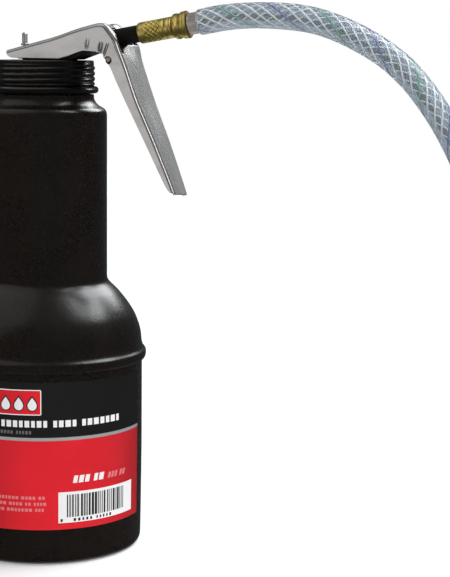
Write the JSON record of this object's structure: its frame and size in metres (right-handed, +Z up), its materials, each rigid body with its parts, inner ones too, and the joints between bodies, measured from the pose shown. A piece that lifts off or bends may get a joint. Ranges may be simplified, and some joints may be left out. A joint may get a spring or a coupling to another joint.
{
  "type": "pump oiler",
  "caption": "Pistol-type pump oiler: a stepped steel oil can with a screwed-on lever pump, knurled coupling and a free-hanging flexible clear hose spout with a nozzle.",
  "frame": {"origin": "centre of the flat base of the oil can, on the surface that the can stands on", "axes": "+Z up along the can; +X in the direction in which the spout and the hose leave the pump; +Y completes the right-handed frame, to the user's left side of the lever"},
  "size_m": [0.2222, 0.0778, 0.2086],
  "materials": {
    "black_paint": "fine-textured satin black enamel",
    "cast_black": "black-coated die casting, slightly rough",
    "bright_steel": "bright plated pressed steel, satin",
    "plain_steel": "turned bright steel",
    "spring_steel": "drawn spring wire",
    "brass": "turned brass with an olive passivation",
    "knurled_brass": "knurled brass with an olive passivation",
    "zinc": "zinc-plated crimped sleeve",
    "rubber": "black nitrile rubber",
    "clear_hose": "clear bluish PVC with an open white braid and two coloured tracer threads",
    "label_print": "printed wrap label: dark panel above, red panel below, silver line between",
    "nylon": "natural nylon tube"
  },
  "bodies": {
    "can": {"can_lower_cup": "black_paint", "can_upper_shell": "black_paint", "label": "label_print"},
    "head": {"pump_head": "cast_black", "cap_gasket": "rubber", "rod_gland": "plain_steel", "rod_seal": "rubber", "pump_barrel": "plain_steel", "inlet_valve_body": "brass", "inlet_retainer": "brass", "inlet_spring": "spring_steel", "dip_tube": "nylon", "strainer": "brass", "return_spring": "spring_steel", "outlet_seat": "brass", "outlet_spring": "spring_steel", "outlet_tube": "cast_black", "nut_washer": "rubber", "hose_tail": "brass", "hose_ferrule": "zinc", "flex_hose": "clear_hose", "tip_ferrule": "zinc", "nozzle_tip": "brass", "pivot_pin": "plain_steel"},
    "cap": {"screw_cap": "black_paint"},
    "lever": {"lever": "bright_steel"},
    "piston": {"piston_rod": "plain_steel", "rod_clip": "spring_steel", "piston": "brass", "piston_seal": "rubber", "piston_nut": "plain_steel"},
    "coupling": {"coupling_nut": "knurled_brass"},
    "inlet_check": {"inlet_ball": "plain_steel"},
    "outlet_check": {"outlet_ball": "plain_steel"}
  },
  "joints": [
    {"name": "head_lift", "type": "slide", "parent": "can", "child": "head", "axis": [0, 0, 1], "range_m": [0, 0.19]},
    {"name": "cap_turn", "type": "hinge", "parent": "head", "child": "cap", "pos_m": [0, 0, 0.181], "axis": [0, 0, 1], "continuous": true},
    {"name": "lever_squeeze", "type": "hinge", "parent": "head", "child": "lever", "pos_m": [0.0306, 0, 0.1876], "axis": [0, 1, 0], "range_deg": [0, 15], "stiffness_Nm_per_rad": 1.5, "springref_deg": -8.59},
    {"name": "piston_stroke", "type": "slide", "parent": "head", "child": "piston", "axis": [0, 0, 1], "range_m": [0, 0.0095], "deforming": ["return_spring"]},
    {"name": "coupling_turn", "type": "hinge", "parent": "head", "child": "coupling", "pos_m": [0.045, 0, 0.19823], "axis": [0.9848, 0, 0.1736], "continuous": true},
    {"name": "inlet_valve", "type": "slide", "parent": "head", "child": "inlet_check", "axis": [0, 0, 1], "range_m": [0, 0.0012], "stiffness_N_per_m": 20, "springref_m": -0.004, "deforming": ["inlet_spring"]},
    {"name": "outlet_valve", "type": "slide", "parent": "head", "child": "outlet_check", "axis": [0.9848, 0, 0.1736], "range_m": [0, 0.0008], "stiffness_N_per_m": 20, "springref_m": -0.004}
  ],
  "couplings": [
    {"joint": "piston_stroke", "follows": "lever_squeeze", "m_per_rad": 0.0353}
  ]
}
